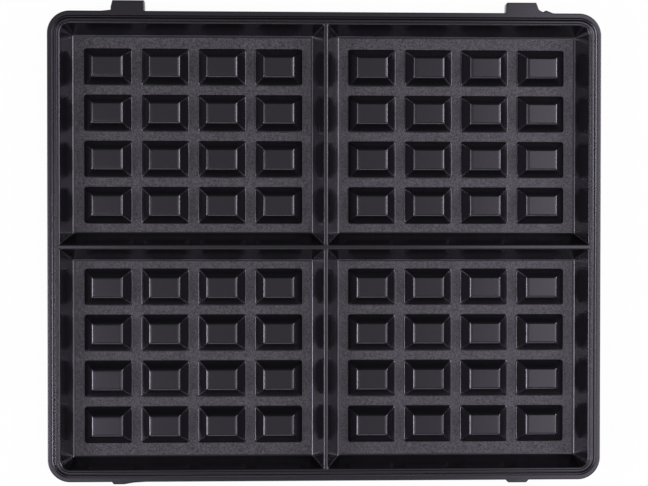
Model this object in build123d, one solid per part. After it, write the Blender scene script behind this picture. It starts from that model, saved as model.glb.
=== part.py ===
"""Removable waffle plate of a sandwich maker: a die casting under its non-stick coating.

Millimetres. The cooking face looks up (+Z), the hinge side of the machine is at +Y.
The origin is under the middle of the plate's bounding box, on the plane of the flat back.
Every size of the cooking face is the size over the coating, as it would be measured.
"""
import os
from math import hypot

from build123d import *

# Four waffle cavities, two by two, each with a field of studs
cavity_signs = [(-1, -1), (1, -1), (-1, 1), (1, 1)]
studs_along_x = 4
studs_along_y = 4

# One stud: a pyramid with its tip cut off
stud_base_x = 24.05
stud_base_y = 18.55
stud_top_x = 16.5
stud_top_y = 9.9
stud_rise = 5.8
stud_corner_radius = 1.0

# Channels of the cavity floor, between the studs and along its edges
channel_x = 5.45
channel_y = 5.35
rib_channel_x = 5.5
rib_channel_y = 5.4
wall_channel_x = 6.3
wall_channel_y = 7.4
stud_field_shift_y = 0.4

# The cross of ribs between the cavities, and the walls around them
rim_rise = 10.5
rib_top_x = 1.8
rib_top_y = 2.15
rib_flank_run_x = 5.8
rib_flank_run_y = 5.5
wall_run_x = 5.1
wall_run_y = 4.75
floor_corner_radius = 0.8
rim_corner_radius = 5.2

# The rim from its edge inwards: a low flange, a groove, a ridge, a groove, a land, a groove and a lip
flange_width = 2.1
flange_drop = 0.35
outer_groove_width = 0.4
outer_groove_depth = 0.8
ridge_width = 0.8
middle_groove_width = 0.45
middle_groove_depth = 0.5
land_width = 1.45
inner_groove_width = 0.35
inner_groove_depth = 0.25
lip_width = 0.8

# Walls of the casting
back_to_floor = 3.5
metal_wall = 2.75
skirt_wall = 2.5
coat_thickness = 0.25
coat_lower_edge = 1.0

# Cored back
pocket_corner_radius = 1.2
pocket_mouth_flare = 0.7
rib_core_tip = 1.6
centre_pad_half_length = 13.0
perimeter_land = 2.0
web_thickness = 2.2
webs_along_x = 6
webs_along_y = 5

# Lugs of the rear edge, which hook into the machine
rear_lug_x = 101.2
rear_lug_root = 17.4
rear_lug_tip = 16.2
rear_lug_reach = 5.4
rear_lug_corner_radius = 1.0
lug_thickness = 5.0
gusset_thickness = 2.0
gusset_spacing = 9.0
gusset_reach = 3.6
gusset_drop = 6.0
heel_root = 7.6
heel_tip = 2.5
heel_reach = 0.9
heel_corner_radius = 0.5

# Lugs of the front edge, which the latch holds down
front_left_lug_x = -104.4
front_right_lug_x = 99.3
front_lug_root = 12.0
front_lug_tip = 8.8
front_lug_reach = 1.4
front_lug_corner_radius = 0.8

# Sizes that follow
floor_x = rib_channel_x + studs_along_x * stud_base_x + (studs_along_x - 1) * channel_x + wall_channel_x
floor_y = rib_channel_y + studs_along_y * stud_base_y + (studs_along_y - 1) * channel_y + wall_channel_y
floor_near_x = rib_top_x / 2 + rib_flank_run_x
floor_near_y = rib_top_y / 2 + rib_flank_run_y
floor_far_x = floor_near_x + floor_x
floor_far_y = floor_near_y + floor_y
middle_groove_inset = flange_width + outer_groove_width + ridge_width
inner_groove_inset = middle_groove_inset + middle_groove_width + land_width
rim_width = inner_groove_inset + inner_groove_width + lip_width
half_width = floor_far_x + wall_run_x + rim_width
half_depth = floor_far_y + wall_run_y + rim_width
outer_radius = rim_corner_radius + rim_width
floor_z = back_to_floor
stud_z = floor_z + stud_rise
rim_z = floor_z + rim_rise
flange_z = rim_z - flange_drop
plate_centre_y = (front_lug_reach - rear_lug_reach) / 2
casting_skin = -coat_thickness
core_skin = -(coat_thickness + metal_wall)

# How far a cutting body stands out of what it cuts
overshoot = 1.0


def flank(foot, run, rise, lift, skin):
    """Place of a sloped flank, `lift` above its foot, moved by `skin` along its normal."""
    return foot - lift * run / rise + skin * hypot(run, rise) / rise


def stud_half(skin, lift):
    """Half sizes of a stud at a height above the cavity floor."""
    run_x = (stud_base_x - stud_top_x) / 2
    run_y = (stud_base_y - stud_top_y) / 2
    half_x = flank(stud_base_x / 2, run_x, stud_rise, lift, skin)
    half_y = flank(stud_base_y / 2, run_y, stud_rise, lift, skin)
    return half_x, half_y


def stud_centres():
    """Middle of each stud, from the middle of the plate."""
    first_x = floor_near_x + rib_channel_x + stud_base_x / 2
    first_y = floor_near_y + rib_channel_y + stud_base_y / 2
    for sign_x, sign_y in cavity_signs:
        for column in range(studs_along_x):
            for row in range(studs_along_y):
                x = first_x + column * (stud_base_x + channel_x)
                y = first_y + row * (stud_base_y + channel_y)
                yield sign_x * x, sign_y * y + stud_field_shift_y


def cut_pyramid(low_z, low_half, high_z, high_half, corner_radius):
    """Pyramid between two heights, with flat flanks and rounded corners."""
    low_x, low_y = low_half
    high_x, high_y = high_half
    profile_x = Polyline(
        (-low_x, 0, low_z),
        (low_x, 0, low_z),
        (high_x, 0, high_z),
        (-high_x, 0, high_z),
        close=True,
    )
    profile_y = Polyline(
        (0, -low_y, low_z),
        (0, low_y, low_z),
        (0, high_y, high_z),
        (0, -high_y, high_z),
        close=True,
    )
    reach_x = max(low_x, high_x) + overshoot
    reach_y = max(low_y, high_y) + overshoot
    across = Pos(0, reach_y, 0) * extrude(make_face(profile_x), 2 * reach_y, dir=(0, -1, 0))
    along = Pos(-reach_x, 0, 0) * extrude(make_face(profile_y), 2 * reach_x, dir=(1, 0, 0))
    pyramid = across & along
    corners = [edge for edge in pyramid.edges() if abs((edge @ 1 - edge @ 0).Z) > (high_z - low_z) / 2]
    return fillet(corners, corner_radius)


def cavity_section(skin, lift):
    """Opening of the cavity at +X +Y at a height above its floor, as a face."""
    near_x = flank(floor_near_x, rib_flank_run_x, rim_rise, lift, skin)
    near_y = flank(floor_near_y, rib_flank_run_y, rim_rise, lift, skin)
    far_x = -flank(-floor_far_x, wall_run_x, rim_rise, lift, skin)
    far_y = -flank(-floor_far_y, wall_run_y, rim_rise, lift, skin)
    opening = Pos((near_x + far_x) / 2, (near_y + far_y) / 2, 0) * Rectangle(far_x - near_x, far_y - near_y)
    flared = floor_corner_radius + (rim_corner_radius - floor_corner_radius) * lift / rim_rise - skin
    outer_corner = opening.vertices().sort_by_distance((far_x, far_y, 0))[0]
    opening = fillet(outer_corner, flared)
    other_corners = [(near_x, near_y, 0), (far_x, near_y, 0), (near_x, far_y, 0)]
    for corner in other_corners:
        vertex = opening.vertices().sort_by_distance(corner)[0]
        opening = fillet(vertex, floor_corner_radius - skin)
    return Pos(0, 0, floor_z + lift) * opening


def cavities(skin):
    """The four cavities as solids, from the floor to above the rim."""
    opening = loft([cavity_section(skin, skin), cavity_section(skin, rim_rise + overshoot)], ruled=True)
    for sign_x, sign_y in cavity_signs:
        cavity = opening
        if sign_x < 0:
            cavity = mirror(cavity, about=Plane.YZ)
        if sign_y < 0:
            cavity = mirror(cavity, about=Plane.XZ)
        yield cavity


def studs(skin):
    """Every stud, rooted below the cavity floor."""
    low_z = floor_z + skin - overshoot
    high_z = stud_z + skin
    low_half = stud_half(skin, low_z - floor_z)
    high_half = stud_half(skin, high_z - floor_z)
    stud = cut_pyramid(low_z, low_half, high_z, high_half, stud_corner_radius)
    return [Pos(x, y, 0) * stud for x, y in stud_centres()]


def plate_outline(inset):
    """The plate's outline, moved inwards, as a face."""
    return RectangleRounded(2 * (half_width - inset), 2 * (half_depth - inset), outer_radius - inset)


def rim_ring(outer_inset, inner_inset, low_z):
    """A ring that cuts the rim from above, between two insets from the plate's edge."""
    ring = plate_outline(outer_inset) - plate_outline(inner_inset)
    return Pos(0, 0, low_z) * extrude(ring, rim_z + overshoot - low_z)


def rim_cuts(skin):
    """The drop of the flange and the grooves of the land."""
    yield rim_ring(-overshoot, flange_width - skin, flange_z + skin)
    grooves = [
        (flange_width, outer_groove_width, outer_groove_depth),
        (middle_groove_inset, middle_groove_width, middle_groove_depth),
        (inner_groove_inset, inner_groove_width, inner_groove_depth),
    ]
    for inset, width, depth in grooves:
        yield rim_ring(inset + skin, inset + width - skin, rim_z - depth + skin)


def lug(centre_x, root, tip, reach, corner_radius, direction, skin):
    """A tapered lug that stands out of the rear (+1) or front (-1) edge."""
    edge_y = direction * half_depth
    root_y = edge_y - direction * skirt_wall / 2
    tip_y = edge_y + direction * (reach + skin)
    points = [
        (centre_x - root / 2 - skin, root_y),
        (centre_x + root / 2 + skin, root_y),
        (centre_x + root / 2 + skin, edge_y),
        (centre_x + tip / 2 + skin, tip_y),
        (centre_x - tip / 2 - skin, tip_y),
        (centre_x - root / 2 - skin, edge_y),
    ]
    low_z = flange_z - lug_thickness
    solid = Pos(0, 0, low_z) * extrude(make_face(Polyline(*points, close=True)), lug_thickness + skin)
    tip_edges = solid.edges().filter_by(Axis.Z).sort_by(lambda edge: direction * edge.center().Y)[-2:]
    return fillet(tip_edges, corner_radius)


def lugs(skin):
    """The four lugs, the rear ones with a low heel on their outer side."""
    heel_x = rear_lug_x + (rear_lug_root + heel_root) / 2
    for side in (-1, 1):
        yield lug(
            side * rear_lug_x, rear_lug_root, rear_lug_tip, rear_lug_reach, rear_lug_corner_radius, 1, skin,
        )
        yield lug(side * heel_x, heel_root, heel_tip, heel_reach, heel_corner_radius, 1, skin)
    for centre_x in (front_left_lug_x, front_right_lug_x):
        yield lug(
            centre_x, front_lug_root, front_lug_tip, front_lug_reach, front_lug_corner_radius, -1, skin,
        )


def plate_body(low_z, skin):
    """The plate without its cored back, with every cooking surface moved by `skin`."""
    block = Pos(0, 0, low_z) * extrude(plate_outline(-skin), rim_z + skin - low_z)
    block = block - (list(rim_cuts(skin)) + list(cavities(skin)))
    return block + studs(skin) + list(lugs(skin))


def stud_pockets():
    """A pocket behind each stud, with a flared mouth."""
    tip_z = stud_z + core_skin
    tip_half = stud_half(core_skin, tip_z - floor_z)
    neck_half = stud_half(core_skin, pocket_mouth_flare - floor_z)
    mouth_half = (neck_half[0] + 2 * pocket_mouth_flare, neck_half[1] + 2 * pocket_mouth_flare)
    core = cut_pyramid(0, stud_half(core_skin, -floor_z), tip_z, tip_half, pocket_corner_radius)
    mouth = cut_pyramid(-pocket_mouth_flare, mouth_half, pocket_mouth_flare, neck_half, pocket_corner_radius)
    pocket = core + mouth
    return [Pos(x, y, 0) * pocket for x, y in stud_centres()]


def rib_trough(foot, run, reach):
    """A trough behind a rib along +X, from the pad at the middle to near the perimeter channel."""
    tip_half = rib_core_tip / 2
    slope = run / rim_rise
    mouth_half = flank(foot, run, rim_rise, -floor_z, core_skin)
    tip_z = (mouth_half - tip_half) / slope
    profile = Polyline(
        (0, -mouth_half - overshoot * slope, -overshoot),
        (0, mouth_half + overshoot * slope, -overshoot),
        (0, tip_half, tip_z),
        (0, -tip_half, tip_z),
        close=True,
    )
    length = reach - centre_pad_half_length
    return Pos(centre_pad_half_length, 0, 0) * extrude(make_face(profile), length, dir=(1, 0, 0))


def perimeter_inner(z):
    """Outline of the back of the cavity walls at a height, as a face."""
    lift = z - floor_z
    half_x = -flank(-floor_far_x, wall_run_x, rim_rise, lift, core_skin)
    half_y = -flank(-floor_far_y, wall_run_y, rim_rise, lift, core_skin)
    flared = floor_corner_radius + (rim_corner_radius - floor_corner_radius) * lift / rim_rise
    return Pos(0, 0, z) * RectangleRounded(2 * half_x, 2 * half_y, max(flared, 0) - core_skin)


def perimeter_channel():
    """The channel under the rim, between the cavity walls and the skirt, crossed by webs."""
    ceiling_z = rim_z - outer_groove_depth + core_skin
    skirt_inside = Pos(0, 0, -overshoot) * plate_outline(coat_thickness + skirt_wall)
    walls = loft([perimeter_inner(-2 * overshoot), perimeter_inner(ceiling_z + overshoot)], ruled=True)
    channel = extrude(skirt_inside, ceiling_z + overshoot) - walls
    webs = []
    for number in range(webs_along_x):
        x = (number + 0.5 - webs_along_x / 2) * 2 * floor_far_x / webs_along_x
        webs.append(Pos(x, 0, ceiling_z / 2) * Box(web_thickness, 2 * half_depth, ceiling_z))
    for number in range(webs_along_y):
        y = (number + 0.5 - webs_along_y / 2) * 2 * floor_far_y / webs_along_y
        webs.append(Pos(0, y, ceiling_z / 2) * Box(2 * half_width, web_thickness, ceiling_z))
    return channel - webs


def back_cores():
    """All that is cored out of the back."""
    land_x = -flank(-floor_far_x, wall_run_x, rim_rise, -floor_z, core_skin) - perimeter_land
    land_y = -flank(-floor_far_y, wall_run_y, rim_rise, -floor_z, core_skin) - perimeter_land
    along_x = rib_trough(floor_near_y, rib_flank_run_y, land_x)
    along_y = rib_trough(floor_near_x, rib_flank_run_x, land_y)
    troughs = [along_x, Rot(0, 0, 180) * along_x, Rot(0, 0, 90) * along_y, Rot(0, 0, -90) * along_y]
    return stud_pockets() + troughs + [perimeter_channel()]


def lug_gussets():
    """Gussets from the skirt up to the underside of the rear lugs."""
    lug_z = flange_z - lug_thickness
    edge_y = half_depth - coat_thickness
    profile = Polyline(
        (0, edge_y - skirt_wall / 2, lug_z),
        (0, edge_y + gusset_reach, lug_z),
        (0, edge_y, lug_z - gusset_drop),
        (0, edge_y - skirt_wall / 2, lug_z - gusset_drop),
        close=True,
    )
    gusset = Pos(-gusset_thickness / 2, 0, 0) * extrude(make_face(profile), gusset_thickness, dir=(1, 0, 0))
    for side in (-1, 1):
        for offset in (-gusset_spacing / 2, gusset_spacing / 2):
            yield Pos(side * rear_lug_x + offset, 0, 0) * gusset


def casting_blank():
    """The casting before its back is cored."""
    return plate_body(0, casting_skin) + list(lug_gussets())


def main():
    os.makedirs("parts", exist_ok=True)
    blank = casting_blank()
    pieces = {
        "plate_casting": blank - back_cores(),
        "nonstick_coating": plate_body(coat_lower_edge, 0) - blank,
    }
    for name, piece in pieces.items():
        export_step(Pos(0, plate_centre_y, 0) * piece, f"parts/{name}.step")
    print(f"width {2 * half_width:.2f} depth {2 * half_depth:.2f} height {rim_z:.2f}")


main()
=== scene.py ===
"""Removable waffle plate of a sandwich maker: a cored aluminium die casting under a non-stick coating.

Geometry is worked out in millimetres around the middle of the plate, with the cooking face up and
the rear lugs at +Y, and becomes metres in the frame of the CAD model when a piece is finished.
"""
import math
from types import SimpleNamespace

import bmesh
import bpy
from mathutils import Matrix, Vector


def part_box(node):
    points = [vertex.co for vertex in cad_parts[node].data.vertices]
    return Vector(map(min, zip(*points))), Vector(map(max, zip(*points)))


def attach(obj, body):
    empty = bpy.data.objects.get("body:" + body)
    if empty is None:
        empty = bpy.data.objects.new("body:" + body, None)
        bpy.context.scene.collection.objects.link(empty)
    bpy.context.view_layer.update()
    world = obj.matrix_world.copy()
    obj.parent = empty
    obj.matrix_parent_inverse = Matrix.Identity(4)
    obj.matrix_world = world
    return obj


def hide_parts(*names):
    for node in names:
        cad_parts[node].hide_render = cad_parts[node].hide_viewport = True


bl_info = {
    "name": "Waffle plate",
    "version": (1, 0, 0),
    "blender": (4, 5, 0),
    "location": "3D View > Sidebar > Waffle plate",
    "description": "Builds the coated face and the cored back of a removable waffle plate",
    "category": "Add Mesh",
}

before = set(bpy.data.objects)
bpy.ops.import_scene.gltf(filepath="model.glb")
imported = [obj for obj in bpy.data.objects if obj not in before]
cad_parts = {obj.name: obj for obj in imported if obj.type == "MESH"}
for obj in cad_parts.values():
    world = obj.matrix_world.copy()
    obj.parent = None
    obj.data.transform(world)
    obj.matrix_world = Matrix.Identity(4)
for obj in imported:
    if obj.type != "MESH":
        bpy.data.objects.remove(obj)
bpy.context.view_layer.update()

MM = 0.001
BODY = "root"
COATING_NODE = "nonstick_coating"
CASTING_NODE = "plate_casting"
coating_low, coating_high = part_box(COATING_NODE)

# The four cavities, as signs of X and Y from the middle of the plate
CAVITIES = [(-1, -1), (1, -1), (-1, 1), (1, 1)]
MIRRORS = [Matrix.Diagonal((sign_x, sign_y, 1, 1)) for sign_x, sign_y in CAVITIES]
ACROSS = [Matrix.Diagonal((sign, 1, 1, 1)) for sign in (-1, 1)]
ALONG = [Matrix.Diagonal((1, sign, 1, 1)) for sign in (-1, 1)]
FLAT = 1e-4
# Least flat end that a rounded core keeps
LEAST_END = 0.05
# Steps of rounded parts, and segments of rounded corners
FLANK_STEPS = 6
EDGE_STEPS = 4
CORE_STEPS = 3
CORNER_SEGMENTS = 4
CAVITY_CORNER_SEGMENTS = 10
PLATE_CORNER_SEGMENTS = 16
PIN_SEGMENTS = 24
# Edges that turn more than this stay sharp
SHARP_ANGLE = math.radians(40)
# How far a gusset reaches up into its lug and out past the skirt at its foot, and the rounding of its edges
GUSSET_SINK = 0.3
GUSSET_EDGE = 0.3
# Fall of an eased groove edge over its width: the tilt at which it shines under low side light
EASE_FALL = 0.4

# The floor's half width and its gap under the plate, in metres. Rays shorter than the third go through it
FLOOR_HALF = 3.0
FLOOR_GAP = 0.0001
NEAR_RAY = 0.018
# Size and height of the mottle of cast metal, in millimetres
MOTTLE = 1.2
MOTTLE_HEIGHT = 0.03

# Share of white in the paper to the camera and in gloss, and the world's tones below and above
PAPER_WHITE = 0.96
WORLD_BELOW = (0.9, 0.9, 0.9, 1.0)
WORLD_ABOVE = (0.06, 0.06, 0.06, 1.0)

# The photograph's camera: a 648 x 486 image of 1243.5 pixels' focal length, 0.65 m above the cavity floors
IMAGE_WIDTH = 648
FOCAL_PIXELS = 1243.5
SENSOR_WIDTH = 36.0
CAMERA_DISTANCE = 649.8
CAMERA_TILT_X = 0.0122
CAMERA_TILT_Y = 0.0323
CAMERA_ROLL = -0.0002
CAMERA_AIM = (-0.66, 1.9)


def millimetres(name, description, value):
    """A size of the plate, given in millimetres and kept in metres."""
    return bpy.props.FloatProperty(
        name=name, description=description, default=value * MM, min=0.0, unit="LENGTH", subtype="DISTANCE",
        precision=5,
    )


def linear(hex_colour):
    """An sRGB hex colour as linear red, green, blue and alpha."""
    channels = [int(hex_colour[start:start + 2], 16) / 255 for start in (1, 3, 5)]
    return tuple(c / 12.92 if c <= 0.04045 else ((c + 0.055) / 1.055) ** 2.4 for c in channels) + (1.0,)


def colour(name, description, hex_colour):
    """A colour of a finish, given as sRGB hex."""
    return bpy.props.FloatVectorProperty(
        name=name, description=description, default=linear(hex_colour), size=4, min=0.0, max=1.0, subtype="COLOR",
    )


class CookingFaceSizes(bpy.types.PropertyGroup):
    studs_x: bpy.props.IntProperty(name="Studs across", description="Studs of a cavity along X", default=4, min=1)
    studs_y: bpy.props.IntProperty(name="Studs deep", description="Studs of a cavity along Y", default=4, min=1)
    stud_base_x: millimetres("Stud foot width", "Width of a stud where it meets the floor", 24.4)
    stud_base_y: millimetres("Stud foot depth", "Depth of a stud where it meets the floor", 18.55)
    stud_top_x: millimetres("Stud top width", "Width of a stud between its top edges", 15.3)
    stud_top_y: millimetres("Stud top depth", "Depth of a stud between its top edges", 10.5)
    stud_rise: millimetres("Stud height", "Height of a stud above the floor", 5.8)
    stud_foot_corner: millimetres("Stud foot corner", "Corner radius at a stud's foot", 1.15)
    stud_top_corner: millimetres("Stud top corner", "Corner radius at a stud's top", 0.55)
    stud_foot_radius: millimetres("Stud foot fillet", "Fillet between a stud and the floor", 0.9)
    stud_top_radius: millimetres("Stud edge", "Rounding of a stud's top edges", 2.4)
    channel_x: millimetres("Channel width", "Floor between two studs along X", 5.1)
    channel_y: millimetres("Channel depth", "Floor between two studs along Y", 5.35)
    rib_channel_x: millimetres("Rib channel width", "Floor between the middle rib and the first stud along X", 5.6)
    rib_channel_y: millimetres("Rib channel depth", "Floor between the middle rib and the first stud along Y", 5.4)
    wall_channel_x: millimetres("Wall channel width", "Floor between the last stud and the wall along X", 6.1)
    wall_channel_y: millimetres("Wall channel depth", "Floor between the last stud and the wall along Y", 7.4)
    stud_shift_y: millimetres("Stud shift", "How far every stud stands towards the rear", 0.25)
    rim_rise: millimetres("Wall height", "Height of ribs and rim above the cavity floor", 10.5)
    rib_top_x: millimetres("Rib top across", "Top of the rib that runs front to rear", 1.8)
    rib_top_y: millimetres("Rib top deep", "Top of the rib that runs left to right", 2.15)
    rib_run_x: millimetres("Rib flank across", "Run of the flanks of the rib that runs front to rear", 5.55)
    rib_run_y: millimetres("Rib flank deep", "Run of the flanks of the rib that runs left to right", 5.5)
    wall_run_x: millimetres("Side wall run", "Run of the left and right cavity walls", 5.1)
    wall_run_y: millimetres("End wall run", "Run of the front and rear cavity walls", 4.75)
    floor_corner: millimetres("Floor corner", "Corner radius of a cavity at its floor", 0.8)
    rim_corner: millimetres("Rim corner", "Radius of a cavity's outer corner at the rim", 5.2)
    wall_foot_radius: millimetres("Wall foot fillet", "Fillet between the walls and the floor", 1.8)
    wall_top_radius: millimetres("Wall edge", "Rounding of the top edges of ribs and walls", 1.0)


class RimSizes(bpy.types.PropertyGroup):
    flange_width: millimetres("Flange width", "Low band along the plate's edge", 2.3)
    flange_drop: millimetres("Flange drop", "How far the flange lies under the rim", 0.35)
    outer_groove_width: millimetres("Outer groove width", "Groove beside the flange", 0.25)
    outer_groove_depth: millimetres("Outer groove depth", "Depth of the groove beside the flange", 0.5)
    ridge_width: millimetres("Ridge width", "Ridge between the outer and the middle groove", 0.85)
    middle_groove_width: millimetres("Middle groove width", "Groove inside the ridge", 0.45)
    middle_groove_depth: millimetres("Middle groove depth", "Depth of the groove inside the ridge", 0.8)
    land_width: millimetres("Land width", "Flat band inside the middle groove", 1.25)
    inner_groove_width: millimetres("Inner groove width", "Fine groove inside the land", 0.3)
    inner_groove_depth: millimetres("Inner groove depth", "Depth of the fine groove", 0.25)
    lip_width: millimetres("Lip width", "Lip between the fine groove and the cavity", 0.95)
    edge_ease: millimetres("Groove edge", "Easing of the edges of the grooves", 0.42)
    edge_radius: millimetres("Outer edge", "Rounding of the plate's outer top edge", 0.6)


class LugSizes(bpy.types.PropertyGroup):
    rear_x: millimetres("Rear lug place", "Middle of a rear lug from the middle of the plate", 101.2)
    rear_root: millimetres("Rear lug root", "Width of a rear lug at the plate", 17.4)
    rear_tip: millimetres("Rear lug tip", "Width of a rear lug at its tip", 16.2)
    rear_reach: millimetres("Rear lug reach", "How far a rear lug stands out", 5.4)
    heel_root: millimetres("Heel root", "Width of the low heel beside a rear lug", 7.6)
    heel_reach: millimetres("Heel reach", "How far the heel stands out", 0.9)
    front_left_x: millimetres("Front left lug place", "Middle of the front left lug", 104.4)
    front_right_x: millimetres("Front right lug place", "Middle of the front right lug", 99.3)
    front_root: millimetres("Front lug root", "Width of a front lug at the plate", 12.0)
    front_tip: millimetres("Front lug tip", "Width of a front lug at its tip", 8.8)
    front_reach: millimetres("Front lug reach", "How far a front lug stands out", 1.4)
    thickness: millimetres("Lug thickness", "Height of a lug", 5.0)
    gusset_thickness: millimetres("Gusset thickness", "Thickness of a gusset under a rear lug", 2.0)
    gusset_spacing: millimetres("Gusset spacing", "From one gusset of a lug to the other", 9.0)
    gusset_reach: millimetres("Gusset reach", "How far a gusset stands out", 3.6)
    gusset_drop: millimetres("Gusset drop", "Height of a gusset", 6.0)


class BackSizes(bpy.types.PropertyGroup):
    back_to_floor: millimetres("Floor thickness", "From the flat back to the cavity floors", 3.5)
    metal_wall: millimetres("Metal wall", "Wall of the casting between the cooking face and a core", 2.75)
    skirt_wall: millimetres("Skirt wall", "Wall of the skirt around the plate", 2.5)
    coat_allowance: millimetres("Coat allowance", "Coat thickness that the cores are set out from", 0.25)
    coat: millimetres("Coat", "Thickness of the coat as it is drawn", 0.08)
    coat_lower_edge: millimetres("Coat edge", "Height at which the coat ends on the skirt", 1.0)
    pocket_corner: millimetres("Pocket corner", "Corner radius of a pocket behind a stud", 1.2)
    pocket_flare: millimetres("Pocket mouth", "Easing of a pocket's mouth", 0.7)
    pocket_end_radius: millimetres("Pocket end", "Rounding of a pocket's end", 0.8)
    trough_tip: millimetres("Trough width", "Width of the trough behind a rib at its bottom", 1.6)
    centre_pad: millimetres("Centre pad", "Half length of the solid pad in the middle", 13.0)
    perimeter_land: millimetres("Perimeter land", "Land between a trough and the channel around the edge", 2.0)
    web: millimetres("Web", "Thickness of a web across the channel around the edge", 2.2)
    webs_x: bpy.props.IntProperty(name="Webs across", description="Webs of each long side", default=6, min=1)
    webs_y: bpy.props.IntProperty(name="Webs deep", description="Webs of each short side", default=5, min=1)
    pin_mark: millimetres("Pin mark", "Diameter of the mark of an ejector pin", 5.0)
    pin_depth: millimetres("Pin mark depth", "Depth of the mark of an ejector pin", 0.2)


class FinishColours(bpy.types.PropertyGroup):
    coating: colour("Coating", "Non-stick coating on the textured floors", "#3a373c")
    coating_smooth: colour("Coating, smooth", "Non-stick coating on the smooth flanks and tops", "#0d0c0f")
    aluminium: colour("Aluminium", "As-cast aluminium of the back", "#b4b6b8")
    machined: colour("Machined aluminium", "Milled lands of the back", "#c4c6c8")
    floor: colour("Floor", "Floor under the plate", "#f4f4f4")


def plain(group):
    """The values of a property group, lengths in millimetres."""
    values = {}
    for name, prop in group.bl_rna.properties.items():
        if prop.type == "FLOAT" and prop.unit == "LENGTH":
            values[name] = getattr(group, name) / MM
        elif prop.type == "INT":
            values[name] = getattr(group, name)
    return values


def sizes(context):
    """Every size of the plate in millimetres, with those that follow from them."""
    scene = context.scene
    face = SimpleNamespace(**plain(scene.waffle_face))
    rim = SimpleNamespace(**plain(scene.waffle_rim))
    lugs = SimpleNamespace(**plain(scene.waffle_lugs))
    back = SimpleNamespace(**plain(scene.waffle_back))
    face.near = (face.rib_top_x / 2 + face.rib_run_x, face.rib_top_y / 2 + face.rib_run_y)
    face.pitch_x = face.stud_base_x + face.channel_x
    face.pitch_y = face.stud_base_y + face.channel_y
    face.stud_run_x = (face.stud_base_x - face.stud_top_x) / 2
    face.stud_run_y = (face.stud_base_y - face.stud_top_y) / 2
    reach_x = face.studs_x * face.stud_base_x + (face.studs_x - 1) * face.channel_x
    reach_y = face.studs_y * face.stud_base_y + (face.studs_y - 1) * face.channel_y
    face.far = (
        face.near[0] + face.rib_channel_x + reach_x + face.wall_channel_x,
        face.near[1] + face.rib_channel_y + reach_y + face.wall_channel_y,
    )
    rim.middle_groove = rim.flange_width + rim.outer_groove_width + rim.ridge_width
    rim.inner_groove = rim.middle_groove + rim.middle_groove_width + rim.land_width
    rim.width = rim.inner_groove + rim.inner_groove_width + rim.lip_width
    rim.half_width = face.far[0] + face.wall_run_x + rim.width
    rim.half_depth = face.far[1] + face.wall_run_y + rim.width
    rim.corner = face.rim_corner + rim.width
    back.wall = back.coat_allowance + back.metal_wall
    face.floor_z = back.back_to_floor
    rim.top_z = face.floor_z + face.rim_rise
    rim.flange_z = rim.top_z - rim.flange_drop
    lugs.low_z = rim.flange_z - lugs.thickness
    return SimpleNamespace(face=face, rim=rim, lugs=lugs, back=back)


def flank_place(run, rise, foot_radius, top_radius, lift):
    """How far a sloped flank has come in from its foot line at a height, with its foot and top edge rounded."""
    slope = math.atan2(rise, run)
    foot_z = foot_radius * (1 - math.cos(slope))
    top_z = rise - top_radius * (1 - math.cos(slope))
    if lift < foot_z:
        return foot_radius * (math.sqrt(1 - (1 - lift / foot_radius) ** 2) - math.tan(slope / 2))
    if lift > top_z:
        return run + top_radius * (math.tan(slope / 2) - math.sqrt(max(0, 1 - (1 - (rise - lift) / top_radius) ** 2)))
    return lift * run / rise


def flank_heights(slope, rise, foot_radius, top_radius, steps):
    """Heights of the loops of a flank: close together in its fillet and its rounded edge."""
    turns = [slope * step / steps for step in range(steps + 1)]
    foot = [foot_radius * (1 - math.cos(turn)) for turn in turns]
    top = [rise - top_radius * (1 - math.cos(turn)) for turn in reversed(turns)]
    return foot + top


def outline(bm, corners, height):
    """A closed outline at a height, whose corners are rounded. Each corner is x, y, radius and segments."""
    points = [bm.verts.new((x, y, height)) for x, y, _, _ in corners]
    bm.faces.new(points)
    places = [point.co.copy() for point in points]
    for index, point in enumerate(points):
        before = places[index] - places[index - 1]
        after = places[(index + 1) % len(places)] - places[index]
        cut = corners[index][2] * math.tan(before.angle(after) / 2)
        rounded = bmesh.ops.bevel(
            bm, geom=[point], offset=cut, offset_type="OFFSET", segments=corners[index][3], profile=0.5,
            affect="VERTICES", material=-1,
        )
    return rounded["verts"][0].link_faces[0]


def loop(bm, corners, height):
    """The edges of an outline, without its face."""
    face = outline(bm, corners, height)
    edges = list(face.edges)
    bmesh.ops.delete(bm, geom=[face], context="FACES_ONLY")
    return edges


def bridge(bm, loops):
    """Skins loops of edges in their order."""
    for low, high in zip(loops, loops[1:]):
        bmesh.ops.bridge_loops(bm, edges=low + high)


def rectangle(x0, x1, y0, y1, radius, segments):
    """Corners of a rounded rectangle."""
    return [(x, y, radius, segments) for x, y in ((x0, y0), (x1, y0), (x1, y1), (x0, y1))]


def open_edges(bm, height, low=None, high=None):
    """Edges with one face at a height, and within a rectangle if one is given."""
    found = []
    for edge in bm.edges:
        middle = (edge.verts[0].co + edge.verts[1].co) / 2
        level = all(abs(vert.co.z - height) < FLAT for vert in edge.verts)
        inside = low is None or low[0] < middle.x < high[0] and low[1] < middle.y < high[1]
        if level and inside and len(edge.link_faces) == 1:
            found.append(edge)
    return found


def fill(bm, edges):
    """A flat face with holes between closed loops of edges."""
    bmesh.ops.triangle_fill(bm, use_beauty=True, use_dissolve=False, edges=edges)


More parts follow.
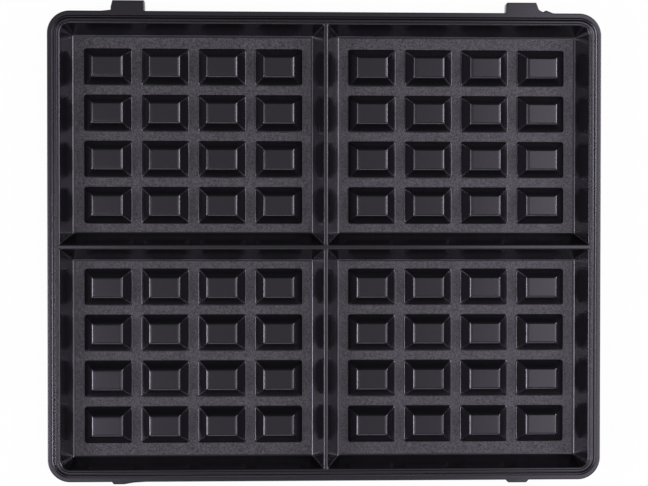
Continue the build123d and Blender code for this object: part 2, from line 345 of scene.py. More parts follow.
def stud(size, skin):
    """One stud at the origin with the floor around it, moved inwards by `skin`."""
    bm = bmesh.new()
    face = size.face
    half_x = face.pitch_x / 2
    half_y = face.pitch_y / 2
    floor_z = face.floor_z - skin
    corners = [bm.verts.new((x, y, floor_z)) for x, y, _, _ in rectangle(-half_x, half_x, -half_y, half_y, 0, 0)]
    around = [bm.edges.new((first, second)) for first, second in zip(corners, corners[1:] + corners[:1])]
    foot_radius = face.stud_foot_radius + skin
    top_radius = face.stud_top_radius - skin
    slope = math.atan2(face.stud_rise, face.stud_run_x)
    loops = []
    for lift in flank_heights(slope, face.stud_rise, foot_radius, top_radius, FLANK_STEPS):
        come_x = flank_place(face.stud_run_x, face.stud_rise, foot_radius, top_radius, lift)
        come_y = flank_place(face.stud_run_y, face.stud_rise, foot_radius, top_radius, lift)
        half_x = face.stud_base_x / 2 - come_x - skin * math.tan(slope / 2)
        half_y = face.stud_base_y / 2 - come_y - skin * math.tan(slope / 2)
        share = lift / face.stud_rise
        corner = face.stud_foot_corner + (face.stud_top_corner - face.stud_foot_corner) * share - min(come_x, 0)
        loops.append(loop(bm, rectangle(-half_x, half_x, -half_y, half_y, corner, CORNER_SEGMENTS), floor_z + lift))
    bridge(bm, loops)
    bmesh.ops.contextual_create(bm, geom=loops[-1])
    fill(bm, loops[0] + around)
    return bm


def stud_placings(face):
    """The place of each stud."""
    for sign_x, sign_y in CAVITIES:
        for column in range(face.studs_x):
            for row in range(face.studs_y):
                x = face.near[0] + face.rib_channel_x + face.stud_base_x / 2
                y = face.near[1] + face.rib_channel_y + face.stud_base_y / 2
                x += column * face.pitch_x
                y += row * face.pitch_y
                yield Matrix.Translation((sign_x * x, sign_y * y + face.stud_shift_y, 0))


def verts_of(geometry):
    """The vertices among the geometry that an operator returns."""
    return [part for part in geometry if isinstance(part, bmesh.types.BMVert)]


def join(bm, part):
    """Moves all that a small working mesh holds into the main one."""
    mesh = bpy.data.meshes.new("part")
    part.to_mesh(mesh)
    part.free()
    bm.from_mesh(mesh)
    bpy.data.meshes.remove(mesh)


def repeat(bm, part, placings):
    """Joins a copy of a part to the mesh for each matrix that places one."""
    first = part.verts[:] + part.edges[:] + part.faces[:]
    for placing in placings:
        copy = bmesh.ops.duplicate(part, geom=first)
        bmesh.ops.transform(part, matrix=placing, verts=verts_of(copy["geom"]))
    bmesh.ops.delete(part, geom=verts_of(first), context="VERTS")
    join(bm, part)


def cavity_walls(size, skin):
    """Walls of the rear right cavity, from its floor fillet to the rounded edge of ribs and rim."""
    bm = bmesh.new()
    face = size.face
    foot_radius = face.wall_foot_radius + skin
    top_radius = face.wall_top_radius - skin
    steep = math.atan2(face.rim_rise, face.wall_run_y)
    loops = []
    for lift in flank_heights(steep, face.rim_rise, foot_radius, top_radius, FLANK_STEPS):
        place = [
            flank_place(run, face.rim_rise, foot_radius, top_radius, lift)
            for run in (face.rib_run_x, face.rib_run_y, face.wall_run_x, face.wall_run_y)
        ]
        grown = skin * math.tan(steep / 2)
        near_x = face.near[0] - place[0] - grown
        near_y = face.near[1] - place[1] - grown
        far_x = face.far[0] + place[2] + grown
        far_y = face.far[1] + place[3] + grown
        tight = max(face.floor_corner + min(place[2], 0), face.floor_corner / 3) + grown
        flared = tight + (face.rim_corner - face.floor_corner) * lift / face.rim_rise
        flared += max(place[2] - face.wall_run_x, 0)
        corners = [
            (near_x, near_y, tight, CORNER_SEGMENTS), (far_x, near_y, tight, CORNER_SEGMENTS),
            (far_x, far_y, flared, CAVITY_CORNER_SEGMENTS), (near_x, far_y, tight, CORNER_SEGMENTS),
        ]
        loops.append(loop(bm, corners, face.floor_z - skin + lift))
    bridge(bm, loops)
    return bm


def rim_profile(rim):
    """The rim's section from the flange inwards, as inset from the edge and height. Edges that face out are eased."""
    crisp = rim.edge_ease / 3
    grooves = [
        (rim.flange_width, rim.outer_groove_width, rim.outer_groove_depth, rim.edge_ease),
        (rim.middle_groove, rim.middle_groove_width, rim.middle_groove_depth, rim.edge_ease),
        (rim.inner_groove, rim.inner_groove_width, rim.inner_groove_depth, crisp),
    ]
    points = []
    height = rim.flange_z
    for inset, width, depth, ease in grooves:
        bottom = rim.top_z - depth
        points += [(inset - crisp, height), (inset, height - crisp * EASE_FALL)]
        points.append((inset + width / 2, bottom))
        points += [(inset + width, rim.top_z - ease * EASE_FALL), (inset + width + ease, rim.top_z)]
        height = rim.top_z
    return points


def plate_corners(rim, inset):
    """Corners of the plate without its lugs, moved inwards."""
    half_x = rim.half_width - inset
    half_y = rim.half_depth - inset
    return rectangle(-half_x, half_x, -half_y, half_y, rim.corner - inset, PLATE_CORNER_SEGMENTS)


def lug_points(size, skin):
    """The plate's outline with its lugs, counterclockwise from the front left corner."""
    rim, lugs = size.rim, size.lugs
    half_x = rim.half_width - skin
    front = -rim.half_depth + skin
    rear = rim.half_depth - skin
    corner = rim.corner - skin

    # Each lug as steps along the edge from its middle, reach, radius and segments. The bare steps are where its
    # outline in the photo leaves the shape of its named sizes. The lugs of a pair are not alike.
    front_tip = lugs.front_tip / 2
    front_root = lugs.front_root / 2
    front_left = [
        (-front_root + 0.6, 0, 0.5, 3), (-front_tip, -lugs.front_reach + 0.2, 0.6, 3),
        (front_tip / 5, -lugs.front_reach + 0.2, 0.6, 3), (front_root, -0.35, 5.0, 3), (front_root + 6, 0, 8.0, 3),
    ]
    front_right = [
        (-front_root, 0, 0.5, 3), (-front_tip - 0.3, -lugs.front_reach, 0.4, 3),
        (front_tip + 0.3, -lugs.front_reach, 0.4, 3), (front_root, 0, 0.5, 3),
    ]
    root = lugs.rear_root / 2
    tip = lugs.rear_tip / 2
    rear_right = [
        (root + lugs.heel_root, 0, 4.0, 3), (root + lugs.heel_root / 2, lugs.heel_reach * 1.7, 0.4, 3),
        (root + 2.4, lugs.heel_reach * 0.7, 0.5, 3), (root + 0.2, lugs.heel_reach * 1.8, 1.5, 3),
        (tip - 0.6, lugs.rear_reach, 0.6, 5), (-tip, lugs.rear_reach, 1.0, 5), (-root + 0.3, 0, 0.3, 3),
    ]
    rear_left = [
        (root - 0.4, 0, 0.3, 3), (root - 0.5, lugs.rear_reach, 0.5, 5), (-tip, lugs.rear_reach, 0.5, 5),
        (-root - 0.3, 1.8, 0.8, 3), (-root - 0.2, 0.5, 0.3, 2), (-root - lugs.heel_root * 0.7, 0, 4.0, 3),
    ]
    points = [(-half_x, front, corner, PLATE_CORNER_SEGMENTS)]
    for centre, places in ((-lugs.front_left_x, front_left), (lugs.front_right_x, front_right)):
        points += [(centre + x, front + y, radius, segments) for x, y, radius, segments in places]
    points += [(half_x, y, corner, PLATE_CORNER_SEGMENTS) for y in (front, rear)]
    points += [(lugs.rear_x + x, rear + y, radius, segments) for x, y, radius, segments in rear_right]
    points += [(-lugs.rear_x + x, rear + y, radius, segments) for x, y, radius, segments in rear_left]
    points.append((-half_x, rear, corner, PLATE_CORNER_SEGMENTS))
    return points


def stepped(corners, points):
    """An outline that steps inwards from point to point of a section, given as inset and height."""
    bm = bmesh.new()
    face = outline(bm, corners, points[0][1])
    for (inset, height), (next_inset, next_height) in zip(points, points[1:]):
        bmesh.ops.inset_region(
            bm, faces=[face], thickness=next_inset - inset, depth=next_height - height, use_even_offset=True,
            use_boundary=True,
        )
    bmesh.ops.delete(bm, geom=[face], context="FACES_ONLY")
    return bm


def top_land(bm, height, longest):
    """The flat land between the rim's grooves and the four cavities, filled a quarter at a time."""
    long_edges = [edge for edge in open_edges(bm, height) if edge.calc_length() > longest]
    middles = verts_of(bmesh.ops.subdivide_edges(bm, edges=long_edges, cuts=1)["geom_inner"])
    centre = bm.verts.new((0, 0, height))
    cross = {middle: bm.edges.new((centre, middle)) for middle in middles}
    for sign_x, sign_y in CAVITIES:
        arms = [edge for middle, edge in cross.items() if sign_x * middle.co.x + sign_y * middle.co.y > 0]
        low = (min(0, sign_x * 2 * longest), min(0, sign_y * 2 * longest))
        high = (max(0, sign_x * 2 * longest), max(0, sign_y * 2 * longest))
        fill(bm, open_edges(bm, height, low, high) + arms)


def edge_section(radius, height, steps):
    """Section of a rounded edge, as inset and height."""
    turns = [math.pi / 2 * step / steps for step in range(steps + 1)]
    return [(radius * (1 - math.cos(turn)), height - radius * (1 - math.sin(turn))) for turn in turns]


def extrude_down(bm, edges, height):
    """Extrudes edges straight down to a height, and returns the new ones."""
    made = bmesh.ops.extrude_edge_only(bm, edges=edges)["geom"]
    for vert in verts_of(made):
        vert.co.z = height
    return [part for part in made if isinstance(part, bmesh.types.BMEdge)]


def cooking_side(bm, size, skin, low_z):
    """Everything from the lower edge of the skirt over the rim to the studs, moved inwards by `skin`."""
    face, rim, lugs = size.face, size.rim, size.lugs
    repeat(bm, stud(size, skin), stud_placings(face))
    repeat(bm, cavity_walls(size, skin), MIRRORS)
    bmesh.ops.remove_doubles(bm, verts=bm.verts, dist=FLAT)
    for sign_x, sign_y in CAVITIES:
        low = (min(0, sign_x * rim.half_width), min(0, sign_y * rim.half_depth))
        high = (max(0, sign_x * rim.half_width), max(0, sign_y * rim.half_depth))
        fill(bm, open_edges(bm, face.floor_z - skin, low, high))

    # The outer edge with its lugs, the grooves of the rim, and the flat bands beside them
    rounded = edge_section(rim.edge_radius, rim.flange_z - skin, EDGE_STEPS)
    section = [(inset, height - skin) for inset, height in rim_profile(rim)]
    join(bm, stepped(lug_points(size, skin), rounded))
    join(bm, stepped(plate_corners(rim, section[0][0]), section))
    fill(bm, open_edges(bm, rim.flange_z - skin))
    top_land(bm, rim.top_z - skin, rim.half_width)

    # The skirt, with the lugs standing out of its upper part
    down = extrude_down(bm, open_edges(bm, rounded[0][1]), lugs.low_z + skin)
    out_y = rim.half_depth - skin + FLAT
    for sign in (-1, 1):
        for side in (-1, 1):
            chain = [
                edge for edge in down
                if max(sign * vert.co.y for vert in edge.verts) > out_y and side * edge.verts[0].co.x > 0
            ]
            bmesh.ops.contextual_create(bm, geom=chain)
    extrude_down(bm, open_edges(bm, lugs.low_z + skin), low_z)


def gusset(size):
    """One gusset under a rear lug, rooted in the skirt, with its middle at X = 0."""
    lugs, back = size.lugs, size.back
    bm = bmesh.new()
    edge_y = size.rim.half_depth - back.coat
    root_y = edge_y - back.skirt_wall / 2
    half = lugs.gusset_thickness / 2
    top = lugs.low_z + GUSSET_SINK
    section = [
        (root_y, top), (root_y, lugs.low_z - lugs.gusset_drop), (edge_y + GUSSET_SINK, lugs.low_z - lugs.gusset_drop),
        (edge_y + lugs.gusset_reach, lugs.low_z), (edge_y + lugs.gusset_reach, top),
    ]
    side = bm.faces.new([bm.verts.new((-half, y, z)) for y, z in section])
    made = bmesh.ops.extrude_face_region(bm, geom=[side], use_keep_orig=True)["geom"]
    bmesh.ops.translate(bm, verts=verts_of(made), vec=(2 * half, 0, 0))
    bmesh.ops.recalc_face_normals(bm, faces=bm.faces)
    long_edges = [edge for edge in bm.edges if edge.verts[0].co.x * edge.verts[1].co.x > 0]
    bmesh.ops.bevel(
        bm, geom=long_edges, offset=GUSSET_EDGE, offset_type="OFFSET", segments=2, profile=0.5, affect="EDGES",
        material=-1,
    )
    return bm


def core(depth, mouth, end, outline_at):
    """A core that opens at the back, with an eased mouth and a rounded end."""
    bm = bmesh.new()
    quarter = [math.pi / 2 * step / CORE_STEPS for step in range(CORE_STEPS + 1)]
    section = [(mouth * (1 - math.cos(turn)), mouth * (1 - math.sin(turn))) for turn in quarter]
    section += [(depth - end + end * math.sin(turn), end * (math.cos(turn) - 1)) for turn in quarter]
    loops = [loop(bm, outline_at(height, grown), height) for height, grown in section]
    bridge(bm, loops)
    bmesh.ops.contextual_create(bm, geom=loops[-1])
    return bm


def back_of(foot, run, rise, height, size):
    """Place of the back of a sloped wall at a height above the flat back: the wall's place less its thickness."""
    return foot - (height - size.face.floor_z) * run / rise - size.back.wall * math.hypot(run, rise) / rise


def stud_pocket(size):
    """The pocket behind one stud."""
    face, back = size.face, size.back

    def outline_at(height, grown):
        half_x = back_of(face.stud_base_x / 2, face.stud_run_x, face.stud_rise, height, size) + grown
        half_y = back_of(face.stud_base_y / 2, face.stud_run_y, face.stud_rise, height, size) + grown
        return rectangle(-half_x, half_x, -half_y, half_y, back.pocket_corner + grown, CORNER_SEGMENTS)

    return core(face.floor_z + face.stud_rise - back.wall, back.pocket_flare, back.pocket_end_radius, outline_at)


def rib_trough(size, foot, run, reach, turned):
    """The trough behind one arm of the cross of ribs."""
    face, back = size.face, size.back
    mouth = back_of(foot, run, face.rim_rise, 0, size)
    depth = (mouth - back.trough_tip / 2) * face.rim_rise / run

    def outline_at(height, grown):
        half = mouth - height * run / face.rim_rise + grown
        ends = (back.centre_pad - grown, reach + grown)
        corner = min(half - LEAST_END, back.pocket_corner + grown)
        if turned:
            return rectangle(-half, half, *ends, corner, CORNER_SEGMENTS)
        return rectangle(*ends, -half, half, corner, CORNER_SEGMENTS)

    return core(depth, back.pocket_flare, back.trough_tip / 4, outline_at)


def channel_inner(size, height):
    """Half sizes of the back of the cavity walls, and their corner radius, at a height above the flat back."""
    face, back = size.face, size.back
    half_x = -back_of(-face.far[0], face.wall_run_x, face.rim_rise, height, size)
    half_y = -back_of(-face.far[1], face.wall_run_y, face.rim_rise, height, size)
    share = max(0, (height - face.floor_z) / face.rim_rise)
    return half_x, half_y, back.wall + (face.rim_corner - face.floor_corner) * share


def channel_cells(bm, size):
    """The cells of the channel under the rim, between its webs."""
    face, rim, back = size.face, size.rim, size.back
    depth = rim.top_z - rim.outer_groove_depth - back.coat_allowance - back.metal_wall
    outer_x = rim.half_width - back.coat_allowance - back.skirt_wall
    outer_y = rim.half_depth - back.coat_allowance - back.skirt_wall
    outer_corner = rim.corner - back.coat_allowance - back.skirt_wall
    web = back.web / 2
    webs_x = [(number + 0.5 - back.webs_x / 2) * 2 * face.far[0] / back.webs_x for number in range(back.webs_x)]
    webs_y = [(number + 0.5 - back.webs_y / 2) * 2 * face.far[1] / back.webs_y for number in range(back.webs_y)]

    def side_cell(start, end, along_x):
        def outline_at(height, grown):
            inner_x, inner_y, _ = channel_inner(size, height)
            inner, outer = (inner_y, outer_y) if along_x else (inner_x, outer_x)
            across = (inner - grown, outer + grown)
            along = (start + web - grown, end - web + grown)
            radius = min(back.pocket_corner + grown, (outer - inner) / 2 + grown - LEAST_END)
            spans = (*along, *across) if along_x else (*across, *along)
            return rectangle(*spans, radius, CORNER_SEGMENTS)
        return core(depth, back.pocket_flare, back.pocket_end_radius, outline_at)

    def corner_cell():
        def outline_at(height, grown):
            inner_x, inner_y, inner_corner = channel_inner(size, height)
            start_x = webs_x[-1] + web - grown
            start_y = webs_y[-1] + web - grown
            end_radius = min(back.pocket_corner + grown, (outer_y - inner_y) / 2 + grown - LEAST_END)
            return [
                (start_x, inner_y - grown, end_radius, CORNER_SEGMENTS),
                (inner_x - grown, inner_y - grown, inner_corner - grown, 8),
                (inner_x - grown, start_y, end_radius, CORNER_SEGMENTS),
                (outer_x + grown, start_y, end_radius, CORNER_SEGMENTS),
                (outer_x + grown, outer_y + grown, outer_corner + grown, 12),
                (start_x, outer_y + grown, end_radius, CORNER_SEGMENTS),
            ]
        return core(depth, back.pocket_flare, back.pocket_end_radius, outline_at)

    for start, end in zip(webs_x, webs_x[1:]):
        repeat(bm, side_cell(start, end, True), ALONG)
    for start, end in zip(webs_y, webs_y[1:]):
        repeat(bm, side_cell(start, end, False), ACROSS)
    repeat(bm, corner_cell(), MIRRORS)


def pin_marks(size):
    """Round marks of the ejector pins, where four pockets meet."""
    face, back = size.face, size.back
    bm = bmesh.new()
    rings = []
    for height, radius in ((0.0, back.pin_mark / 2), (back.pin_depth, back.pin_mark / 2 - back.pin_depth)):
        place = Matrix.Translation((0, 0, height))
        ring = bmesh.ops.create_circle(bm, segments=PIN_SEGMENTS, radius=radius, matrix=place)
        rings.append(list({edge for vert in ring["verts"] for edge in vert.link_edges}))
    bridge(bm, rings)
    bmesh.ops.contextual_create(bm, geom=rings[-1])
    first_x = face.near[0] + face.rib_channel_x + face.stud_base_x + face.channel_x / 2
    first_y = face.near[1] + face.rib_channel_y + face.stud_base_y + face.channel_y / 2
    placings = [
        Matrix.Translation(
            (sign_x * (first_x + column * face.pitch_x), sign_y * (first_y + row * face.pitch_y) + face.stud_shift_y, 0)
        )
        for sign_x, sign_y in CAVITIES for column in (0, 2) for row in (0, 2)
    ]
    return bm, placings


def cored_back(bm, size):
    """Everything that opens at the flat back, and the flat land between."""
    face, back = size.face, size.back
    repeat(bm, stud_pocket(size), stud_placings(face))
    repeat(bm, *pin_marks(size))
    land_x, land_y, _ = channel_inner(size, 0)
    repeat(bm, rib_trough(size, face.near[1], face.rib_run_y, land_x - back.perimeter_land, False), ACROSS)
    repeat(bm, rib_trough(size, face.near[0], face.rib_run_x, land_y - back.perimeter_land, True), ALONG)
    channel_cells(bm, size)
    fill(bm, open_edges(bm, 0.0))


def finished(bm, name, context, materials, plain_height, open_height, node):
    """Turns the working mesh into a piece that stands for a CAD node. Flat faces at a height get the first finish."""
    bmesh.ops.remove_doubles(bm, verts=bm.verts, dist=FLAT)
    for edge in bm.edges:
        if len(edge.link_faces) != 2 and any(abs(vert.co.z - open_height) > FLAT for vert in edge.verts):
            raise RuntimeError(f"{name} has an open or overlapping edge at {edge.verts[0].co}")
    for face in bm.faces:
        face.material_index = int(any(abs(vert.co.z - plain_height) > FLAT for vert in face.verts))
    bmesh.ops.recalc_face_normals(bm, faces=bm.faces)
    highest = max(bm.faces, key=lambda face: face.calc_center_median().z)
    if highest.normal.z < 0:
        bmesh.ops.reverse_faces(bm, faces=bm.faces)
    middle_y = (coating_low.y + coating_high.y) / 2
    lugs = context.scene.waffle_lugs
    centre_y = middle_y + (lugs.front_reach - lugs.rear_reach) / 2
    bmesh.ops.transform(bm, verts=bm.verts, matrix=Matrix.Translation((0, centre_y, 0)) @ Matrix.Scale(MM, 4))
    for face in bm.faces:
        face.smooth = True
    mesh = bpy.data.meshes.new(name)
    bm.to_mesh(mesh)
    bm.free()
    mesh.set_sharp_from_angle(angle=SHARP_ANGLE)
    for material in materials:
        mesh.materials.append(material)
    piece = bpy.data.objects.new(name, mesh)
    context.scene.collection.objects.link(piece)
    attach(piece, BODY)
    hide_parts(node)
    return piece


def keep_flat(piece):
    """Keeps flat faces flat to the eye beside their rounded edges."""
    level = piece.modifiers.new("flat_faces_stay_flat", "WEIGHTED_NORMAL")
    level.keep_sharp = True


def add_node(tree, kind, settings=None, inputs=None):
    """Adds a node with its settings, its input values and its links."""
    node = tree.nodes.new(kind)
    for name, value in (settings or {}).items():
        setattr(node, name, value)
    for name, value in (inputs or {}).items():
        if isinstance(value, bpy.types.NodeSocket):
            tree.links.new(value, node.inputs[name])
        else:
            node.inputs[name].default_value = value
    return node


def math_node(tree, operation, first, second):
    """The result of one operation on two values."""
    return add_node(tree, "ShaderNodeMath", {"operation": operation}, {0: first, 1: second}).outputs[0]


def new_material(name):
    """An empty node material with its output."""
    material = bpy.data.materials.new(name)
    material.use_nodes = True
    tree = material.node_tree
    tree.nodes.clear()
    output = add_node(tree, "ShaderNodeOutputMaterial")
    return material, tree, output


def shade(tone, factor):
    """A lighter or darker tone of a colour."""
    return (*(channel * factor for channel in tone[:3]), 1.0)


def ptfe_coating(name, base, painted_light_depth, roughness, ior, grain_mm, grain_height):
    """PTFE non-stick coat in a black binder resin, sprayed on the casting and baked.

    To the eye it is black with a faint purple cast and satin. It greys where its pebbles scatter the light
    and shines in thin lines along its edges. The IOR is fitted to that shine, as the binder's share is not known.
    """
    material, tree, output = new_material(name)
    place = add_node(tree, "ShaderNodeTexCoord").outputs["Object"]
    pebbles = add_node(
        tree, "ShaderNodeTexNoise", {},
        {"Vector": place, "Scale": 1 / (grain_mm * MM), "Detail": 2.0, "Roughness": 0.6},
    )
    bump = add_node(
        tree, "ShaderNodeBump", {},
        {"Height": pebbles.outputs["Fac"], "Strength": 1.0, "Distance": grain_height * MM},
    )
    # Painted light and shade: the colour is lighter on each pebble's crest and darker in its hollow, with the bump's
    # noise
    painted_light_mask = add_node(tree, "ShaderNodeMapRange", {}, {0: pebbles.outputs["Fac"], 1: 0.35, 2: 0.65})
    painted_pebble_light = add_node(
        tree, "ShaderNodeMix", {"data_type": "RGBA"},
        {0: painted_light_mask.outputs[0], 6: shade(base, 1 - painted_light_depth), 7: shade(base, 1 + painted_light_depth)},
    )
    shader = add_node(
        tree, "ShaderNodeBsdfPrincipled", {},
        {"Base Color": painted_pebble_light.outputs[2], "Roughness": roughness, "IOR": ior, "Specular Tint": linear("#f3ecff"),
         "Normal": bump.outputs["Normal"]},
    )
    tree.links.new(shader.outputs["BSDF"], output.inputs["Surface"])
    return material


def cast_aluminium(name, base, roughness):
    """Bare aluminium alloy of a die casting: a grey, dull metal.

    The melt chills unevenly on the die, and its flow marks, 1 to 2 mm across, give the eye a soft mottle.
    """
    material, tree, output = new_material(name)
    place = add_node(tree, "ShaderNodeTexCoord").outputs["Object"]
    mottle = add_node(tree, "ShaderNodeTexNoise", {}, {"Vector": place, "Scale": 1 / (MOTTLE * MM), "Detail": 3.0})
    bump = add_node(
        tree, "ShaderNodeBump", {}, {"Height": mottle.outputs["Fac"], "Strength": 1.0, "Distance": MOTTLE_HEIGHT * MM},
    )
    shader = add_node(
        tree, "ShaderNodeBsdfPrincipled", {},
        {"Base Color": base, "Metallic": 1.0, "Roughness": roughness, "Normal": bump.outputs["Normal"]},
    )
    tree.links.new(shader.outputs["BSDF"], output.inputs["Surface"])
    return material


class WAFFLE_OT_coating(bpy.types.Operator):
    """Makes the non-stick coat over the cooking face, the rim and the lugs"""
    bl_idname = "waffle.coating"
    bl_label = "Non-stick coating"

    def execute(self, context):
        size = sizes(context)
        bm = bmesh.new()
        cooking_side(bm, size, 0.0, size.back.coat_lower_edge)
        half = size.lugs.gusset_spacing / 2
        places = [side * size.lugs.rear_x + step for side in (-1, 1) for step in (-half, half)]
        repeat(bm, gusset(size), [Matrix.Translation((place, 0, 0)) for place in places])
        colours = context.scene.waffle_colours
        # The floors look charcoal grey and mirror nothing, as a coat over blasted metal does. Their colour is painted
        # lighter on each pebble's crest and darker in its hollow: painted light and shade on top of the real bump.
        # A real pebble is taken to be about 0.1 mm across, too fine to show, so it is drawn 0.75 mm across.
        # The flanks and tops look black and sleek, as a coat over smooth metal does, and have a faint orange peel,
        # whose colour is painted a little lighter and darker in the same way, as painted light and shade.
        materials = [
            ptfe_coating(
                "ptfe_coating_textured", colours.coating, painted_light_depth=0.95, roughness=0.39, ior=1.6, grain_mm=0.75,
                grain_height=0.15,
            ),
            ptfe_coating(
                "ptfe_coating_smooth", colours.coating_smooth, painted_light_depth=0.3, roughness=0.22, ior=1.65, grain_mm=0.8,
                grain_height=0.008,
            ),
        ]
        piece = finished(
            bm, "nonstick_coat", context, materials, size.face.floor_z, size.back.coat_lower_edge, COATING_NODE,
        )
        shell = piece.modifiers.new("coat_thickness", "SOLIDIFY")
        shell.thickness = size.back.coat * MM
        shell.offset = -1.0
        keep_flat(piece)
        return {"FINISHED"}


class WAFFLE_OT_casting(bpy.types.Operator):
    """Makes the aluminium casting with its cored back"""
    bl_idname = "waffle.casting"
    bl_label = "Plate casting"

    def execute(self, context):
        size = sizes(context)
        bm = bmesh.new()
        cooking_side(bm, size, size.back.coat, 0.0)
        cored_back(bm, size)
        colours = context.scene.waffle_colours
        # The back is not in the photo. Milled lands would look paler and brighter than cores with the die's skin
        materials = [
            cast_aluminium("milled_aluminium", colours.machined, roughness=0.35),
            cast_aluminium("cast_aluminium", colours.aluminium, roughness=0.45),
        ]
        piece = finished(bm, "cored_casting", context, materials, 0.0, 0.0, CASTING_NODE)
        keep_flat(piece)
        return {"FINISHED"}


def area_light(context, name, place, target, width, depth, power):
    """A soft lamp that looks at a point, `width` along Y for one that stands at a side. Lengths in metres."""
    lamp = bpy.data.lights.new(name, "AREA")
    lamp.shape = "RECTANGLE"
    lamp.size = width
    lamp.size_y = depth
    lamp.energy = power
    holder = bpy.data.objects.new(name, lamp)
    context.scene.collection.objects.link(holder)
    holder.location = place
    holder.rotation_mode = "QUATERNION"
    holder.rotation_quaternion = (Vector(target) - Vector(place)).to_track_quat("-Z", "Y")


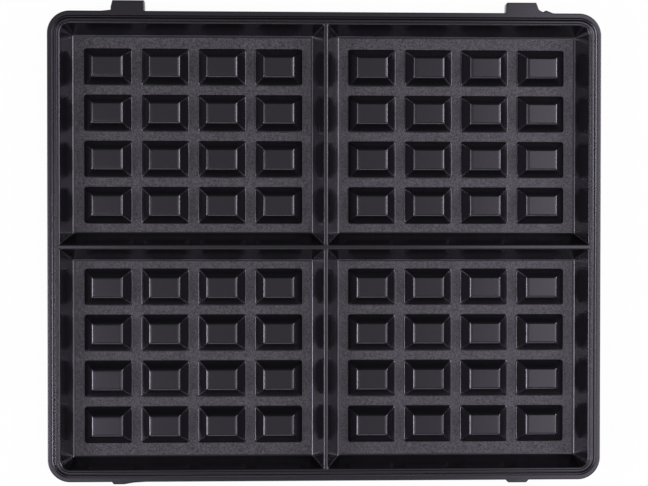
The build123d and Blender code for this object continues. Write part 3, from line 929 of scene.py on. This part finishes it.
class WAFFLE_OT_stage(bpy.types.Operator):
    """Makes the floor, the lamps, the world and the camera"""
    bl_idname = "waffle.stage"
    bl_label = "Stage"

    def execute(self, context):
        scene = context.scene
        colours = scene.waffle_colours
        bm = bmesh.new()
        under = Matrix.Translation((0, 0, -FLOOR_GAP))
        bmesh.ops.create_grid(bm, x_segments=1, y_segments=1, size=FLOOR_HALF, matrix=under)
        mesh = bpy.data.meshes.new("floor")
        bm.to_mesh(mesh)
        bm.free()
        floor = bpy.data.objects.new("floor", mesh)
        scene.collection.objects.link(floor)
        # Seamless paper, uncoated: it takes the plate's soft shadow, and shows white to the camera and in gloss
        material, tree, output = new_material("matt_white_paper")
        paper = add_node(tree, "ShaderNodeBsdfDiffuse", {}, {"Color": colours.floor})
        glow = add_node(tree, "ShaderNodeEmission", {}, {"Color": (1, 1, 1, 1), "Strength": 1.0})
        rays = add_node(tree, "ShaderNodeLightPath").outputs
        seen = math_node(tree, "MAXIMUM", rays["Is Camera Ray"], rays["Is Glossy Ray"])
        seen = math_node(tree, "MAXIMUM", seen, rays["Is Transmission Ray"])
        share = math_node(tree, "MULTIPLY", seen, PAPER_WHITE)
        mixed = add_node(tree, "ShaderNodeMixShader", {}, {0: share, 1: paper.outputs[0], 2: glow.outputs[0]})
        # The floor can't be seen from below, and leaves the light to the flat back that stands on it
        shape = add_node(tree, "ShaderNodeNewGeometry")
        near = math_node(tree, "LESS_THAN", rays["Ray Length"], NEAR_RAY)
        open_side = math_node(tree, "MAXIMUM", near, shape.outputs["Backfacing"])
        clear = add_node(tree, "ShaderNodeBsdfTransparent")
        surface = add_node(tree, "ShaderNodeMixShader", {}, {0: open_side, 1: mixed.outputs[0], 2: clear.outputs[0]})
        tree.links.new(surface.outputs[0], output.inputs["Surface"])
        mesh.materials.append(material)

        area_light(context, "overhead_softbox", (0.0, -0.1, 1.4), (0.0, -0.1, 0), width=2.0, depth=1.8, power=4.45)
        area_light(context, "upper_right_softbox", (0.68, 0.0, 1.3), (0, 0, 0), width=1.3, depth=0.7, power=4.1)
        area_light(context, "upper_left_softbox", (-0.51, -0.18, 1.32), (0, 0, 0), width=0.7, depth=0.25, power=0.9)
        area_light(context, "left_softbox", (-1.2, 0.1, 0.74), (0, 0, 0), width=1.2, depth=0.35, power=4.2)
        area_light(context, "front_left_softbox", (-1.2, -0.32, 0.75), (0, 0, 0), width=0.65, depth=0.3, power=7.6)
        area_light(context, "right_softbox", (1.2, 0.0, 0.74), (0, 0, 0), width=1.3, depth=0.35, power=6.4)
        area_light(context, "rear_right_softbox", (1.2, 0.38, 0.75), (0, 0, 0), width=0.8, depth=0.3, power=5.4)
        area_light(context, "front_softbox", (0.0, -1.2, 0.74), (0, 0, 0), width=1.0, depth=0.35, power=2.6)

        world = bpy.data.worlds.new("studio")
        world.use_nodes = True
        tree = world.node_tree
        tree.nodes.clear()
        # Dim above, where the lamps are, and white below the floor for the plate's back
        direction = add_node(tree, "ShaderNodeTexCoord").outputs["Generated"]
        height = add_node(tree, "ShaderNodeSeparateXYZ", {}, {"Vector": direction}).outputs["Z"]
        above = math_node(tree, "GREATER_THAN", height, 0.0)
        tone = add_node(tree, "ShaderNodeMix", {"data_type": "RGBA"}, {0: above, 6: WORLD_BELOW, 7: WORLD_ABOVE})
        background = add_node(tree, "ShaderNodeBackground", {}, {"Color": tone.outputs[2], "Strength": 1.0})
        add_node(tree, "ShaderNodeOutputWorld", {}, {"Surface": background.outputs[0]})
        scene.world = world
        scene.view_settings.view_transform = "Standard"

        camera = bpy.data.cameras.new("camera")
        camera.sensor_width = SENSOR_WIDTH
        camera.lens = FOCAL_PIXELS / IMAGE_WIDTH * SENSOR_WIDTH
        holder = bpy.data.objects.new("camera", camera)
        scene.collection.objects.link(holder)
        turn = (
            Matrix.Rotation(CAMERA_ROLL, 3, "Z") @ Matrix.Rotation(CAMERA_TILT_Y, 3, "Y")
            @ Matrix.Rotation(CAMERA_TILT_X, 3, "X")
        ).transposed()
        size = sizes(context)
        centre_y = (size.lugs.front_reach - size.lugs.rear_reach) / 2
        place = turn @ Vector((0, 0, CAMERA_DISTANCE)) + Vector((*CAMERA_AIM, 0))
        place += Vector((0, centre_y, size.face.floor_z))
        holder.matrix_world = Matrix.Translation(place * MM) @ turn.to_4x4()
        scene.camera = holder
        return {"FINISHED"}


class WAFFLE_PT_panel(bpy.types.Panel):
    """Lists the pieces of the waffle plate and its sizes"""
    bl_idname = "WAFFLE_PT_panel"
    bl_label = "Waffle plate"
    bl_space_type = "VIEW_3D"
    bl_region_type = "UI"
    bl_category = "Waffle plate"

    def draw(self, context):
        for operator in OPERATORS:
            self.layout.operator(operator.bl_idname)
        for _, name, title in GROUPS:
            self.layout.label(text=title)
            group = getattr(context.scene, name)
            for prop in group.bl_rna.properties:
                if prop.identifier not in ("name", "rna_type"):
                    self.layout.prop(group, prop.identifier)


GROUPS = [
    (CookingFaceSizes, "waffle_face", "Cooking face"),
    (RimSizes, "waffle_rim", "Rim"),
    (LugSizes, "waffle_lugs", "Lugs"),
    (BackSizes, "waffle_back", "Back"),
    (FinishColours, "waffle_colours", "Colours"),
]
OPERATORS = [WAFFLE_OT_coating, WAFFLE_OT_casting, WAFFLE_OT_stage]


def register():
    for group, name, _ in GROUPS:
        bpy.utils.register_class(group)
        setattr(bpy.types.Scene, name, bpy.props.PointerProperty(type=group))
    for cls in (*OPERATORS, WAFFLE_PT_panel):
        bpy.utils.register_class(cls)


def unregister():
    for cls in (WAFFLE_PT_panel, *reversed(OPERATORS)):
        bpy.utils.unregister_class(cls)
    for group, name, _ in reversed(GROUPS):
        delattr(bpy.types.Scene, name)
        bpy.utils.unregister_class(group)


def main():
    register()
    bpy.ops.waffle.coating()
    bpy.ops.waffle.casting()
    bpy.ops.waffle.stage()


if __name__ == "__main__":
    main()
